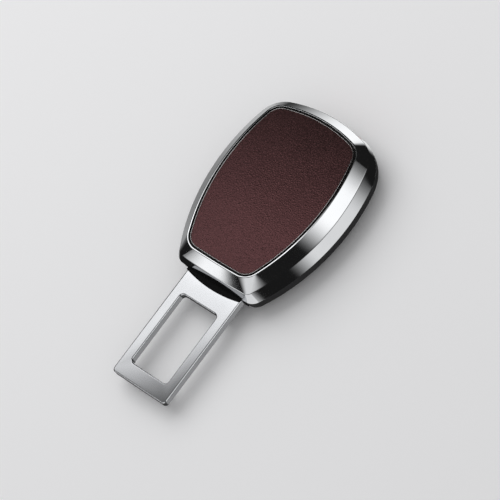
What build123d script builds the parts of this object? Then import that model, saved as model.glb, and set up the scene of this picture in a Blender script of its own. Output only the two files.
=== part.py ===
from build123d import *
from math import asin, cos, hypot, sin, sqrt
import os

# Seat-belt extender buckle: a steel tongue plate at the narrow end, a press-button buckle at the wide end.
# Frame, in millimetres: x = 0 is the plane of symmetry, +Y runs from the tongue to the wide end, +Z is up.
# z = 0 is the underside and y = 0 is half way along the object.

os.makedirs("parts", exist_ok=True)

# ---- tongue plate: the standard belt interface ----
tongue_width = 24.5
tongue_thickness = 3.0
tongue_reach = 42.8
tongue_corner = 1.4
tongue_edge_break = 0.3
window_width = 16.6
window_length = 28.6
window_corner = 1.5
tip_band = 5.9
joggle_start = 4.5
joggle_length = 5.0
joggle_bend = 2.0
tail_length = 23.6

# ---- head outline at the parting plane between bezel and back cover ----
head_length = 69.7
head_width = 57.4
widest_from_front = 39.5
side_radius = 72.0
far_radius = 57.5
base_front_corner = 4.5
base_far_corner = 17.0

# ---- ridge of the bezel, inset from the outline ----
ridge_front_inset = 1.25
ridge_side_inset = 2.3
ridge_far_inset = 1.0
ridge_front_corner = 3.0
ridge_far_corner = 11.0

# ---- gap round the leather, inset from the outline to the middle of the gap ----
gap_front_inset = 5.6
gap_side_inset = 7.0
gap_far_inset = 5.0
gap_front_corner = 6.0
gap_far_corner = 6.0
gap_width = 0.7

# ---- heights ----
cover_height = 8.2
cover_band = 3.5
collar_height = 0.6
ridge_height = 4.2
facet_height = 3.4

# ---- bezel casting ----
bezel_wall = 1.6
lip_width = 0.45
ledge_width = 2.2
ledge_thickness = 1.1

# ---- back cover ----
cover_reveal = 0.3
cover_wall = 1.6
cover_floor = 1.5
cover_taper = 4.8
cover_far_taper = 1.8
rib_thickness = 1.2
rib_height = 2.5
rib_from_frame_ends = 9.0

# ---- leather inlay ----
leather_thickness = 0.9
leather_crown = 0.35
leather_roll = 1.6
leather_sink = 0.1
foam_thickness = 0.4
carrier_thickness = 1.2
carrier_fit = 0.1
carrier_rim_sink = 0.5
hook_width = 5.0
hook_thickness = 1.2
hook_barb = 0.5
hook_barb_height = 0.8
front_hook_spacing = 14.0
spring_post = 2.0

# ---- front collar ----
collar_wall = 1.2
collar_bulge = 2.1
collar_step = 0.6
collar_depth = 3.6

# ---- latch frame ----
frame_steel = 1.2
frame_height = 9.9
frame_from_far = 7.6
flange_length = 38.5
flange_fit = 0.4
frame_overlap = 10.0
flange_step_from_far = 10.2
rivet_radius = 2.25
rivet_head_radius = 3.75
rivet_head_height = 1.5
rivet_from_edge = 5.45
rivet_from_tail = 7.0
spring_tab_width = 8.0

# ---- latch ----
latch_thickness = 1.5
latch_width = 18.0
latch_gap = 0.2
pivot_from_far = 40.0
pin_radius = 1.2
pin_head_radius = 1.9
pin_head = 0.8
nose_width = 12.0
nose_back_from_far = 17.5
nose_tip_length = 0.8
nose_bite = 0.8
nose_front_from_far = 13.2
ear_reach = 2.6
ear_length = 2.4
ear_from_far = 20.2

# ---- mouth ----
slot_clearance = 0.3
mouth_width = 29.0
mouth_throat_depth = 5.3
mouth_throat_height = 4.3
guide_depth = 7.2
seat_thickness = 1.2
seat_width = 3.4

# ---- press button ----
button_width = 28.0
button_height = 3.1
button_depth = 6.4
button_proud = 0.1
button_lift = 0.3
button_shoulder = 1.1
button_travel = 3.2
button_stop_gap = 1.4
arm_width = 2.4
arm_height = 2.0
arm_from_centre = 10.7
arm_foot = 6.0

# ---- ejector ----
ejector_width = 16.0
ejector_length = 8.0
ejector_from_nose = 2.0
ejector_travel = 6.0
keel_width = 3.7
keel_from_ends = 1.5
ejector_corner = 1.0

# ---- springs ----
latch_spring_radius = 2.2
latch_spring_wire = 0.5
latch_spring_arm = 9.0
ejector_spring_radius = 1.5
ejector_spring_wire = 0.45
ejector_spring_length = 14.0
button_spring_radius = 1.15
button_spring_wire = 0.3
button_spring_offset = 6.0
button_spring_pocket = 4.0
spring_turns = 4
spring_sides = 8
long_spring_sides = 16

# ---- cover screws ----
screw_radius = 1.1
screw_head_radius = 2.0
screw_head_height = 1.3
screw_boss_radius = 2.6
screw_from_side = 9.4
screw_from_front = 22.0
screw_from_far = 16.5
screw_sink = 0.7
screw_reach = 10.8

# ---- fits ----
running_fit = 0.05
seated_fit = 0.02
plain_gap = 0.15

# ---- places worked out from the sizes above ----
overall_length = tongue_reach + head_length
y_tip = -overall_length / 2
y_front = y_tip + tongue_reach
y_far = overall_length / 2
y_widest = y_front + widest_from_front
y_tail = y_front + tail_length

z_parting = cover_height
z_ridge = z_parting + ridge_height
z_top = z_ridge + facet_height
z_tongue = z_parting - collar_height
z_tongue_under = z_tongue - tongue_thickness
z_slot = cover_floor + frame_steel
z_slot_top = z_slot + tongue_thickness + slot_clearance
z_tail = z_slot + tongue_thickness
z_ledge = z_top - leather_sink - leather_thickness - foam_thickness - carrier_thickness
z_cavity = z_ledge - ledge_thickness
z_latch = z_slot_top + latch_gap
z_latch_top = z_latch + latch_thickness
eye_radius = pin_radius + running_fit + latch_thickness
z_pivot = z_latch + eye_radius
y_pivot = y_far - pivot_from_far
y_nose = y_far - nose_back_from_far
y_ear = y_far - ear_from_far
y_ejector = y_nose - ejector_from_nose
y_frame = y_far - frame_from_far
y_rivet = y_tail - rivet_from_tail
rivet_x = tongue_width / 2 - rivet_from_edge
flange_x = tongue_width / 2 + flange_fit
z_button = z_parting + button_lift
y_seat = y_far - button_depth - button_travel - button_stop_gap - seat_thickness
y_latch_spring = y_pivot + latch_spring_arm
mouth_drop = (mouth_throat_height - tongue_thickness) / 2


def block(x_span, y_span, z_span):
    """Box between two corners given as spans."""
    spans = (x_span, y_span, z_span)
    sizes = [high - low for low, high in spans]
    centre = [(high + low) / 2 for low, high in spans]
    return Pos(*centre) * Box(*sizes)


def bar(half_width, y_span, z_span):
    """Box that straddles the plane of symmetry."""
    return block((-half_width, half_width), y_span, z_span)


def across(points, half_width):
    """Side profile of (y, z) points, extruded across the plane of symmetry."""
    face = make_face(Polyline([(0, y, z) for y, z in points], close=True))
    return extrude(face, amount=half_width, dir=(1, 0, 0), both=True)


def upright(radius, centre, z_span):
    """Vertical cylinder."""
    x, y = centre
    low, high = z_span
    return Pos(x, y, (low + high) / 2) * Cylinder(radius, high - low)


def rim(insets, corners, shrink=0.0):
    """Closed outline of the head: straight front, bowed sides, bowed far end, rounded corners.

    insets are taken from the front, the sides and the far end; shrink moves the whole outline in.
    """
    front_inset, side_inset, far_inset = insets
    front_corner, far_corner = corners
    front = y_front + front_inset + shrink
    side_r = side_radius - shrink
    far_r = far_radius - shrink
    side_x = head_width / 2 - side_inset - side_radius
    far_y = y_far - far_inset - far_radius
    front_x = side_x + sqrt(side_r**2 - (front - y_widest) ** 2)
    span = hypot(side_x, far_y - y_widest)
    along = (side_r**2 - far_r**2 + span**2) / (2 * span)
    aside = sqrt(side_r**2 - along**2)
    corner_x = side_x - (side_x * along + (far_y - y_widest) * aside) / span
    corner_y = y_widest + ((far_y - y_widest) * along - side_x * aside) / span
    middle = (asin((front - y_widest) / side_r) + asin((corner_y - y_widest) / side_r)) / 2
    bow = (side_x + side_r * cos(middle), y_widest + side_r * sin(middle))
    outline = Curve() + [
        Line((-front_x, front), (front_x, front)),
        ThreePointArc((front_x, front), bow, (corner_x, corner_y)),
        ThreePointArc((corner_x, corner_y), (0, far_y + far_r), (-corner_x, corner_y)),
        ThreePointArc((-corner_x, corner_y), (-bow[0], bow[1]), (-front_x, front)),
    ]
    face = make_face(outline)
    face = fillet(face.vertices().group_by(Axis.Y)[0], max(front_corner - shrink, 0.4))
    return fillet(face.vertices().group_by(Axis.Y)[-1], max(far_corner - shrink, 0.4))


def base_rim(shrink=0.0):
    """Outline at the parting plane."""
    return rim((0, 0, 0), (base_front_corner, base_far_corner), shrink)


def ridge_rim(shrink=0.0):
    """Outline of the ridge between the side band and the sloping facet."""
    insets = (ridge_front_inset, ridge_side_inset, ridge_far_inset)
    return rim(insets, (ridge_front_corner, ridge_far_corner), shrink)


def gap_rim(shrink=0.0):
    """Outline of the middle of the gap round the leather."""
    insets = (gap_front_inset, gap_side_inset, gap_far_inset)
    return rim(insets, (gap_front_corner, gap_far_corner), shrink)


def foot_rim(depth, shrink=0.0):
    """Outline of the tapered part of the back cover, at a depth below its upright band."""
    share = depth / (cover_height - cover_band)
    insets = (cover_taper * share, cover_taper * share, cover_far_taper * share)
    return rim(insets, (base_front_corner, base_far_corner), cover_reveal + shrink)


def rise(low, z_low, high, z_high):
    """Straight-walled solid between two outlines."""
    return loft([Pos(0, 0, z_low) * low, Pos(0, 0, z_high) * high], ruled=True)


def prism(outline, z_span):
    """Upright solid on an outline."""
    low, high = z_span
    return extrude(Pos(0, 0, low) * outline, amount=high - low)


def screw_places():
    """Centres of the cover screws."""
    rows = (y_front + screw_from_front, y_far - screw_from_far)
    offset = head_width / 2 - screw_from_side
    return [(x, y) for y in rows for x in (-offset, offset)]


def screw_boss(place, z_span):
    """Eight-sided boss round a cover screw."""
    x, y = place
    return prism(Pos(x, y) * RegularPolygon(screw_boss_radius, 8, major_radius=False), z_span)


def button_notch():
    """Opening for the press button in the far side band of the bezel."""
    half = button_width / 2 + plain_gap
    top = z_button + button_height + plain_gap
    return bar(half, (y_far - button_depth, y_far + 1), (z_parting - 1, top))


def chrome_bezel():
    """Cast ring: flared side band, sloping facet, bright lip and a ledge that carries the inlay."""
    body = rise(base_rim(), z_parting, ridge_rim(), z_ridge)
    body += rise(ridge_rim(), z_ridge, gap_rim(-gap_width / 2 - lip_width), z_top)
    body -= prism(ridge_rim(bezel_wall), (z_parting - 1, z_cavity))
    body -= prism(gap_rim(-gap_width / 2), (z_ledge, z_top + 1))
    body -= prism(gap_rim(ledge_width - gap_width / 2), (z_cavity - 1, z_ledge + 1))
    for place in screw_places():
        body += screw_boss(place, (z_parting, z_ledge))
        body -= upright(screw_radius + seated_fit, place, (z_parting - 1, screw_reach + 0.4))
    return body - button_notch()


def inlay_plate(z_span):
    """Flat layer of the inlay, inside the gap."""
    return prism(gap_rim(gap_width / 2), z_span)


def panel_carrier():
    """Moulded tray round the leather, with snap hooks below the ledge and a post for the latch spring."""
    body = prism(gap_rim(carrier_fit - gap_width / 2), (z_ledge, z_top - carrier_rim_sink))
    body -= prism(gap_rim(gap_width / 2 - carrier_fit), (z_ledge + carrier_thickness, z_top))
    edge = y_front + gap_front_inset + ledge_width - gap_width / 2 + plain_gap
    reach = z_cavity - plain_gap
    barb_z = (reach - hook_barb_height, reach)
    for side in (-1, 1):
        x = side * front_hook_spacing / 2
        span = (x - hook_width / 2, x + hook_width / 2)
        body += block(span, (edge, edge + hook_thickness), (barb_z[0], z_ledge))
        body += block(span, (edge - hook_barb, edge), barb_z)
    half = head_width / 2 - gap_side_inset - ledge_width + gap_width / 2 - plain_gap
    for side in (-1, 1):
        stem = sorted((side * half, side * (half - hook_thickness)))
        barb = sorted((side * (half - hook_thickness), side * (half + hook_barb)))
        y_span = (y_widest - hook_width / 2, y_widest + hook_width / 2)
        body += block(stem, y_span, (barb_z[0], z_ledge))
        body += block(barb, y_span, barb_z)
    post = latch_spring_radius - latch_spring_wire - plain_gap
    return body + upright(post, (0, y_latch_spring), (z_ledge - spring_post, z_ledge))


def panel_foam():
    """Thin foam between the carrier and the leather."""
    low = z_ledge + carrier_thickness
    return inlay_plate((low, low + foam_thickness))


def leather_panel():
    """Leather inlay, raised inside its rolled edge."""
    low = z_ledge + carrier_thickness + foam_thickness
    body = inlay_plate((low, low + leather_thickness + leather_crown))
    top = body.faces().sort_by(Axis.Z)[-1]
    return chamfer(top.edges(), leather_roll, leather_crown, reference=top)


def cover_body():
    """Outside of the back cover: upright black band over a tapered foot."""
    z_band = cover_height - cover_band
    body = rise(foot_rim(z_band), 0, foot_rim(0), z_band)
    return body + prism(base_rim(cover_reveal), (z_band, z_parting))


def collar_half_width():
    """Half width of the front collar inside the cover wall."""
    return tongue_width / 2 + collar_wall


def back_cover():
    """Moulded tray that closes the head from below."""
    z_band = cover_height - cover_band
    body = cover_body()
    inner_low = foot_rim(z_band - cover_floor, cover_wall)
    body -= rise(inner_low, cover_floor, foot_rim(0, cover_wall), z_band)
    body -= prism(base_rim(cover_reveal + cover_wall), (z_band, z_parting + 1))
    collar_low = z_tongue_under - collar_wall
    inside = (y_front - 1, y_front + collar_depth + 1)
    body -= bar(collar_half_width() + plain_gap, inside, (collar_low - plain_gap, z_parting + 1))
    far_cut = (y_far - guide_depth, y_far + 1)
    body -= bar(mouth_width / 2 + plain_gap, far_cut, (cover_floor, z_parting + 1))
    for side in (-1, 1):
        outer = flange_x + frame_steel + plain_gap
        rib = sorted((side * outer, side * (outer + rib_thickness)))
        rib_y = (y_frame - flange_length + rib_from_frame_ends, y_frame - rib_from_frame_ends)
        body += block(rib, rib_y, (cover_floor, cover_floor + rib_height))
    for place in screw_places():
        body += screw_boss(place, (0, z_parting))
        head = screw_sink + screw_head_height
        body -= upright(screw_head_radius + plain_gap, place, (-1, head))
        body -= upright(screw_radius + plain_gap, place, (0, z_parting + 1))
    return body


def tongue_plate():
    """Steel tongue with its latch window, joggled down inside the head on to the frame."""
    down = z_tongue - z_tail
    top = [
        (y_tip, z_tongue),
        (y_front + joggle_start, z_tongue),
        (y_front + joggle_start + joggle_length, z_tongue - down),
        (y_tail, z_tongue - down),
    ]
    under = [(y, z - tongue_thickness) for y, z in reversed(top)]
    side = make_face(Polyline([(0, y, z) for y, z in top + under], close=True))
    bends = [v for v in side.vertices() if y_front < v.Y < y_tail - 1]
    side = fillet(bends, joggle_bend)
    body = extrude(side, amount=tongue_width / 2, dir=(1, 0, 0), both=True)
    corners = body.edges().filter_by(Axis.Z).group_by(Axis.Y)[0]
    body = fillet(corners, tongue_corner)
    window = RectangleRounded(window_width, window_length, window_corner)
    window_y = y_tip + tip_band + window_length / 2
    body -= extrude(Pos(0, window_y, z_tongue_under - 1) * window, amount=tongue_thickness + 2)
    ahead = y_front - collar_bulge
    rims = [e for e in body.edges() if e.bounding_box().max.Y < ahead and is_level(e)]
    body = chamfer(rims, tongue_edge_break)
    for side in (-1, 1):
        body -= upright(rivet_radius + seated_fit, (side * rivet_x, y_rivet), (0, z_parting))
    return body


def is_level(edge):
    """True for an edge that lies flat."""
    box = edge.bounding_box()
    return box.max.Z - box.min.Z < 0.01


def front_collar():
    """Black collar round the tongue, with a bowed lip over the tongue in front of the bezel."""
    half = collar_half_width()
    low = z_tongue_under - collar_wall
    body = bar(half, (y_front + cover_reveal + 0.1, y_front + collar_depth), (low, z_parting))
    lip_half = tongue_width / 2
    lip_end = y_front - collar_step
    bow = ThreePointArc((-lip_half, lip_end), (0, y_front - collar_bulge), (lip_half, lip_end))
    back = y_front + cover_reveal + 0.2
    sides = Polyline((lip_half, lip_end), (lip_half, back), (-lip_half, back), (-lip_half, lip_end))
    lip = make_face(Curve() + [bow] + sides.edges())
    body += prism(lip, (z_tongue, z_parting))
    gap = seated_fit
    passage_y = (y_front - collar_bulge - 1, y_front + collar_depth + 1)
    return body - bar(tongue_width / 2 + gap, passage_y, (z_tongue_under - gap, z_tongue + gap))


def latch_frame():
    """Folded steel channel: base plate under the tongue and two side flanges that carry the latch pin."""
    outer = flange_x + frame_steel
    y_end = y_tail - tail_length + frame_overlap
    y_flange = y_frame - flange_length
    section = [
        (-outer, cover_floor + frame_height),
        (-outer, cover_floor),
        (outer, cover_floor),
        (outer, cover_floor + frame_height),
        (flange_x, cover_floor + frame_height),
        (flange_x, z_slot),
        (-flange_x, z_slot),
        (-flange_x, cover_floor + frame_height),
    ]
    face = make_face(Polyline([(x, y_flange, z) for x, z in section], close=True))
    folds = [v for v in face.vertices() if v.Z < cover_floor + 0.1]
    body = extrude(fillet(folds, frame_steel), amount=y_frame - y_flange, dir=(0, 1, 0))
    body += bar(tongue_width / 2, (y_end, y_flange + 1), (cover_floor, z_slot))
    body -= bar(2 * outer, (y_far - flange_step_from_far, y_far), (z_button - 2 * plain_gap, z_top))
    lug_y = (y_nose - plain_gap, y_nose + nose_tip_length + nose_bite + 3 * plain_gap)
    body -= bar(nose_width / 2 + plain_gap, lug_y, (0, z_slot + 1))
    keel_y = (y_ejector - ejector_length - ejector_travel, y_ejector - 1)
    body -= bar(keel_width / 2 + plain_gap, keel_y, (0, z_slot + 1))
    body -= Pos(0, y_pivot, z_pivot) * Rot(0, 90, 0) * Cylinder(pin_radius + seated_fit, 3 * outer)
    tab_y = y_ejector - ejector_length - ejector_spring_length
    tab_top = z_latch - plain_gap
    body += bar(spring_tab_width / 2, (tab_y - frame_steel, tab_y), (z_slot, tab_top))
    for side in (-1, 1):
        body -= upright(rivet_radius + seated_fit, (side * rivet_x, y_rivet), (0, z_tail))
    return body


def frame_rivet(side):
    """Pressed rivet that holds the tongue's tail on the frame."""
    place = (side * rivet_x, y_rivet)
    shank = upright(rivet_radius, place, (cover_floor, z_tail))
    return shank + upright(rivet_head_radius, place, (z_tail, z_tail + rivet_head_height))


def latch_pin():
    """Pin across the flanges, headed at both ends."""
    outer = flange_x + frame_steel
    body = Cylinder(pin_radius, 2 * outer)
    for side in (-1, 1):
        body += Pos(0, 0, side * (outer + pin_head / 2)) * Cylinder(pin_head_radius, pin_head)
    return Pos(0, y_pivot, z_pivot) * Rot(0, 90, 0) * body


def latch_plate():
    """Hardened plate with a rolled eye, a wedge nose for the tongue window and two lifting ears."""
    y_front_edge = y_far - nose_front_from_far
    half = latch_width / 2
    body = bar(half, (y_pivot, y_front_edge), (z_latch, z_latch_top))
    body += Pos(0, y_pivot, z_pivot) * Rot(0, 90, 0) * Cylinder(eye_radius, latch_width)
    z_tip = z_slot - nose_bite
    nose = [
        (y_nose, z_latch_top),
        (y_nose, z_tip),
        (y_nose + nose_tip_length, z_tip),
        (y_front_edge, z_latch),
        (y_front_edge, z_latch_top),
    ]
    body += across(nose, nose_width / 2)
    body += bar(half + ear_reach, (y_ear - ear_length, y_ear), (z_latch, z_latch_top))
    bore = Cylinder(pin_radius + running_fit, latch_width + 2)
    return body - Pos(0, y_pivot, z_pivot) * Rot(0, 90, 0) * bore


def tongue_guide():
    """Plastic mouth that leads a tongue into the slot, with a shelf for the button springs."""
    z_low = cover_floor
    z_high = z_parting - plain_gap
    body = bar(mouth_width / 2, (y_far - guide_depth, y_far + 1), (z_low, z_high))
    body = body & cover_body()
    body += bar(flange_x - plain_gap, (y_seat, y_far - guide_depth), (z_slot_top, z_high))
    slot_x = tongue_width / 2 + slot_clearance
    body -= bar(slot_x, (y_seat - 1, y_far + 1), (z_slot, z_slot_top))
    throat = (z_slot - mouth_drop + plain_gap, z_slot_top + mouth_drop - plain_gap)
    y_throat = y_far - mouth_throat_depth
    body -= bar(slot_x + plain_gap, (y_throat, y_far + 1), throat)
    seat_top = z_button + button_height
    for side in (-1, 1):
        x = side * button_spring_offset
        span = (x - seat_width / 2, x + seat_width / 2)
        body += block(span, (y_seat, y_seat + seat_thickness), (z_high - 0.5, seat_top))
    return body


def button_spring_z():
    """Height of the button springs' axes."""
    return z_button + button_height / 2


def press_button():
    """Release button in the far end, with two arms whose ramps lift the latch ears."""
    y_back = y_far - button_depth
    z_high = z_button + button_height
    face = Pos(0, button_proud, 0) * rise(base_rim(), z_parting, ridge_rim(), z_ridge)
    body = bar(button_width / 2, (y_back, y_far + 1), (z_button, z_high)) & face
    inner = prism(ridge_rim(bezel_wall + plain_gap), (z_parting, z_ridge))
    shoulder = bar(button_width / 2 + button_shoulder, (y_back, y_far), (z_button, z_high))
    body += shoulder & inner
    y_foot = y_ear + arm_foot
    z_low = z_slot_top + seated_fit
    arm_top = z_button + arm_height
    ramp_top = y_ear + arm_top - z_low
    arm = [
        (y_back + 1, z_button),
        (y_back + 1, arm_top),
        (ramp_top, arm_top),
        (y_ear, z_low),
        (y_foot, z_low),
        (y_foot, z_button),
    ]
    for side in (-1, 1):
        body += Pos(side * arm_from_centre, 0, 0) * across(arm, arm_width / 2)
        pocket = Cylinder(button_spring_radius + plain_gap, button_spring_pocket)
        centre = (side * button_spring_offset, y_back + button_spring_pocket / 2, button_spring_z())
        body -= Pos(*centre) * Rot(90, 0, 0) * pocket
    return body


def ejector():
    """Plastic slider that pushes a released tongue out; its keel runs in the frame's slot."""
    z_low = z_slot + running_fit
    z_high = z_slot_top - plain_gap
    body = bar(ejector_width / 2, (y_ejector - ejector_length, y_ejector), (z_low, z_high))
    body = fillet(body.edges().filter_by(Axis.Z), ejector_corner)
    keel_y = (y_ejector - ejector_length + keel_from_ends, y_ejector - keel_from_ends)
    return body + bar(keel_width / 2, keel_y, (cover_floor + plain_gap, z_low + 0.5))


def coil(radius, wire, length, sides=spring_sides):
    """Compression spring of square wire along +Z, run through sections set along its helix."""
    climb = length - wire
    path = Helix(climb / spring_turns, climb, radius - wire / 2)
    count = spring_turns * sides
    sections = []
    for i in range(count + 1):
        point = path @ (i / count)
        outward = (point.X, point.Y, 0)
        sections.append(Plane(origin=point, x_dir=outward, z_dir=path % (i / count)) * Rectangle(wire, wire))
    return Pos(0, 0, wire / 2) * loft(sections, ruled=True)


def latch_spring():
    """Coil that holds the latch down."""
    length = z_ledge - z_latch_top
    return Pos(0, y_latch_spring, z_latch_top) * coil(latch_spring_radius, latch_spring_wire, length)


def ejector_spring():
    """Coil behind the ejector."""
    start = y_ejector - ejector_length - ejector_spring_length
    height = (z_slot + z_slot_top) / 2
    body = coil(ejector_spring_radius, ejector_spring_wire, ejector_spring_length, long_spring_sides)
    return Pos(0, start, height) * Rot(-90, 0, 0) * body


def button_spring(side):
    """Coil in a pocket of the press button."""
    start = y_seat + seat_thickness
    length = y_far - button_depth + button_spring_pocket - start
    body = coil(button_spring_radius, button_spring_wire, length)
    return Pos(side * button_spring_offset, start, button_spring_z()) * Rot(-90, 0, 0) * body


def cover_screw(place):
    """Pan-head screw from below."""
    seat = screw_sink + screw_head_height
    shank = upright(screw_radius, place, (seat, screw_reach))
    return shank + upright(screw_head_radius, place, (screw_sink, seat))


pieces = {
    "tongue_plate": tongue_plate(),
    "chrome_bezel": chrome_bezel(),
    "leather_panel": leather_panel(),
    "panel_foam": panel_foam(),
    "panel_carrier": panel_carrier(),
    "back_cover": back_cover(),
    "front_collar": front_collar(),
    "latch_frame": latch_frame(),
    "frame_rivet_left": frame_rivet(-1),
    "frame_rivet_right": frame_rivet(1),
    "latch_pin": latch_pin(),
    "latch_plate": latch_plate(),
    "latch_spring": latch_spring(),
    "tongue_guide": tongue_guide(),
    "press_button": press_button(),
    "button_spring_left": button_spring(-1),
    "button_spring_right": button_spring(1),
    "ejector": ejector(),
    "ejector_spring": ejector_spring(),
}
for number, place in enumerate(screw_places(), start=1):
    pieces[f"cover_screw_{number}"] = cover_screw(place)

for name, piece in pieces.items():
    export_step(piece, f"parts/{name}.step")
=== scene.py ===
from math import atan2, cos, hypot, pi, radians, sin, sqrt

import bmesh
import bpy
from mathutils import Matrix, Vector


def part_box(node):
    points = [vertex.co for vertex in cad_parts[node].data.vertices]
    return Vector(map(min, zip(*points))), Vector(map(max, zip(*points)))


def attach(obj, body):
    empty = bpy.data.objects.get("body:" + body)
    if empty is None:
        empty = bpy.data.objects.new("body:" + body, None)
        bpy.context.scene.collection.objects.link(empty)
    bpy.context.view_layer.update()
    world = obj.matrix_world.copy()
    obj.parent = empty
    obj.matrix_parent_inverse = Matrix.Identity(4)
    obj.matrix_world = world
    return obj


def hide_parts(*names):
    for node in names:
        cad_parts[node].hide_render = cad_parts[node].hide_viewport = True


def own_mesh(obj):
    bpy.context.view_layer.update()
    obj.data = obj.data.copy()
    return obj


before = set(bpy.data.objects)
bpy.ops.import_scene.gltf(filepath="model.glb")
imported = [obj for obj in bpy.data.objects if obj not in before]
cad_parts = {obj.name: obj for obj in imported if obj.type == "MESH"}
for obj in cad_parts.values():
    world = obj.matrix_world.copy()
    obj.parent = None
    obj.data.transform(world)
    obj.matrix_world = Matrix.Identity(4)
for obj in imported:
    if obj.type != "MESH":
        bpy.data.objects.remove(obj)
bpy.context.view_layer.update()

# ---------------------------------------------------------------- sizes, in millimetres
MM = 0.001


def span(node):
    """Lowest and highest corner of a CAD node, in millimetres."""
    low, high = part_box(node)
    return Vector(low) / MM, Vector(high) / MM


tongue_low, tongue_high = span("tongue_plate")
bezel_low, bezel_high = span("chrome_bezel")
_, leather_high = span("leather_panel")
collar_low, _ = span("front_collar")
button_low, button_high = span("press_button")

# clearances, the reach of cutting tools past an open side, and the distance at which points are welded
PLAIN_GAP = 0.15
SEATED_GAP = 0.02
OVERSHOOT = 1.0
WELD = 0.001

# head outline
HEAD_LENGTH = 69.7
HEAD_WIDTH = bezel_high.x - bezel_low.x
WIDEST_FROM_FRONT = 39.5
FRONT = bezel_low.y
FAR = FRONT + HEAD_LENGTH
WIDEST = FRONT + WIDEST_FROM_FRONT
FRONT_RADIUS = 340.0
SIDE_RADIUS = 72.0
FAR_RADIUS = 57.5
SMALLEST_CORNER = 0.4
FRONT_STEPS = 8
# rims: insets from the front, the sides and the far end, then the radii of the front and far corners
BASE = ((0, 0, 0), (4.5, 17.0))
RIDGE_RIM = ((1.25, 2.3, 1.0), (3.0, 11.0))
GAP_RIM = ((5.6, 7.0, 5.0), (6.0, 6.0))

# chrome bezel
PARTING = bezel_low.z
TOP = bezel_high.z
BAND_HEIGHT = 4.2
RIDGE = PARTING + BAND_HEIGHT
BEZEL_WALL = 1.6
GAP = 0.7
LIP = 0.45
LEDGE_WIDTH = 2.2
LEDGE_DEPTH = 2.6
LEDGE = TOP - LEDGE_DEPTH
LEDGE_THICKNESS = 1.1
CAVITY = LEDGE - LEDGE_THICKNESS
LIP_INNER_EDGE = 0.14
LIP_OUTER_EDGE = 0.17
RIDGE_EDGE = 0.4
BASE_EDGE = 0.2

# leather inlay: its roll gives steps inward and down, its spine is where the crown's rings close in
CARRIER_THICKNESS = 1.2
FOAM_THICKNESS = 0.4
LEATHER_THICKNESS = 0.9
LEATHER_FIT = 0.03
LEATHER_ROLL = ((0.0, 0.4), (0.02, 0.24), (0.08, 0.11), (0.18, 0.03), (0.32, 0.0))
LEATHER_CROWN = 0.35
CROWN_SHARES = (0.03, 0.07, 0.13, 0.2, 0.3, 0.42, 0.56, 0.7, 0.84, 0.95)
CROWN_POWER = 2.4
SPINE_MIDDLE = 21.5
SPINE_SHARE = 0.42
BEAD = 0.13
BEAD_INSET = 0.12
BEAD_SINK = 0.01
BEAD_SIDES = 12

# tongue
TONGUE_WIDTH = tongue_high.x - tongue_low.x
TONGUE_THICKNESS = 3.0
TONGUE_TOP = tongue_high.z
TONGUE_CORNER = 1.4
TAIL_CORNER = 0.4
TONGUE_EDGE = 0.5
WINDOW_WIDTH = 16.6
WINDOW_LENGTH = 28.6
WINDOW_CORNER = 1.5
TIP_BAND = 5.9
JOGGLE_START = 4.5
JOGGLE_LENGTH = 5.0
JOGGLE_STEPS = 12

# back cover
COVER_BAND_HEIGHT = 3.5
COVER_BAND = PARTING - COVER_BAND_HEIGHT
COVER_FLOOR = 1.5
COVER_REVEAL = 0.3
COVER_WALL = 1.6
COVER_TAPER = 4.8
COVER_FAR_TAPER = 1.8
COVER_RIM = 4.0
FOOT_EDGE = 0.7
BAND_EDGE = 0.5
COVER_TOP_EDGE = 0.15
MOUTH_OPENING = 29.3
MOUTH_DEPTH = 7.2
THROAT_OPENING = 27.2
THROAT_DEPTH = 4.6
SCREW_SEAT_RADIUS = 2.15
SCREW_SEAT_DEPTH = 2.0

# front collar
# the bow's ends stay this far out, blunt, so that the black lip also covers the contact shadow: partly
# painted shade
COLLAR_STEP = 0.6
COLLAR_DEPTH = 3.6
COLLAR_HALF_WIDTH = 13.45
COLLAR_LIP_BACK = 0.5
COLLAR_LIP_EDGE = 0.12
BOW_STEPS = 18
SLEEVE_START = 0.4
SLEEVE_CORNER = 0.5
SLEEVE_EDGE = 0.1
SLOT_CORNER = 0.05

# press button
BUTTON_WIDTH = 28.0
BUTTON_DEPTH = 6.4
BUTTON_SET = 0.25
BUTTON_LIFT = 0.3
BUTTON_EDGE = 0.4
FACE_MARGIN = 0.2
NOTCH = BUTTON_WIDTH / 2 + PLAIN_GAP
ARM_FROM_CENTRE = 10.7
ARM_WIDTH = 2.4
ARM_HEIGHT = 2.0
ARM_FOOT = 6.0
ARM_ROOT = 1.0
ARM_EDGE = 0.1
EAR_FROM_FAR = 20.2
EAR = FAR - EAR_FROM_FAR
SHOULDER_DEPTH = 2.4
SHOULDER_LAP = 1.0
SHOULDER_EDGE = 0.2

# cover screws; the shares are of the head's radius
HEAD_CENTRE_SHARE = 0.35
HEAD_FLAT_SHARE = 0.62
HEAD_DISH = 0.02
HEAD_ROUNDING = 0.75
HEAD_STEPS = 8
HEAD_HEIGHT = 1.3
HEAD_BREAK = 0.02
SHANK_RADIUS = 1.1
THREAD_START = 1.7
THREAD_PITCH = 0.5
THREAD_DEPTH = 0.22
THREAD_RINGS = 16
TIP_LENGTH = 0.3
TIP_START = 0.25
TIP_END = 0.6
RECESS_WIDTH = 0.42
RECESS_LENGTH = 2.3
RECESS_DEPTH = 0.65


# ---------------------------------------------------------------- outlines and meshes
def arc(centre, radius, start, end, steps):
    """Points on an arc, without its last point."""
    angles = [start + (end - start) * i / steps for i in range(steps)]
    return [(centre[0] + radius * cos(a), centre[1] + radius * sin(a)) for a in angles]


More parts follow.
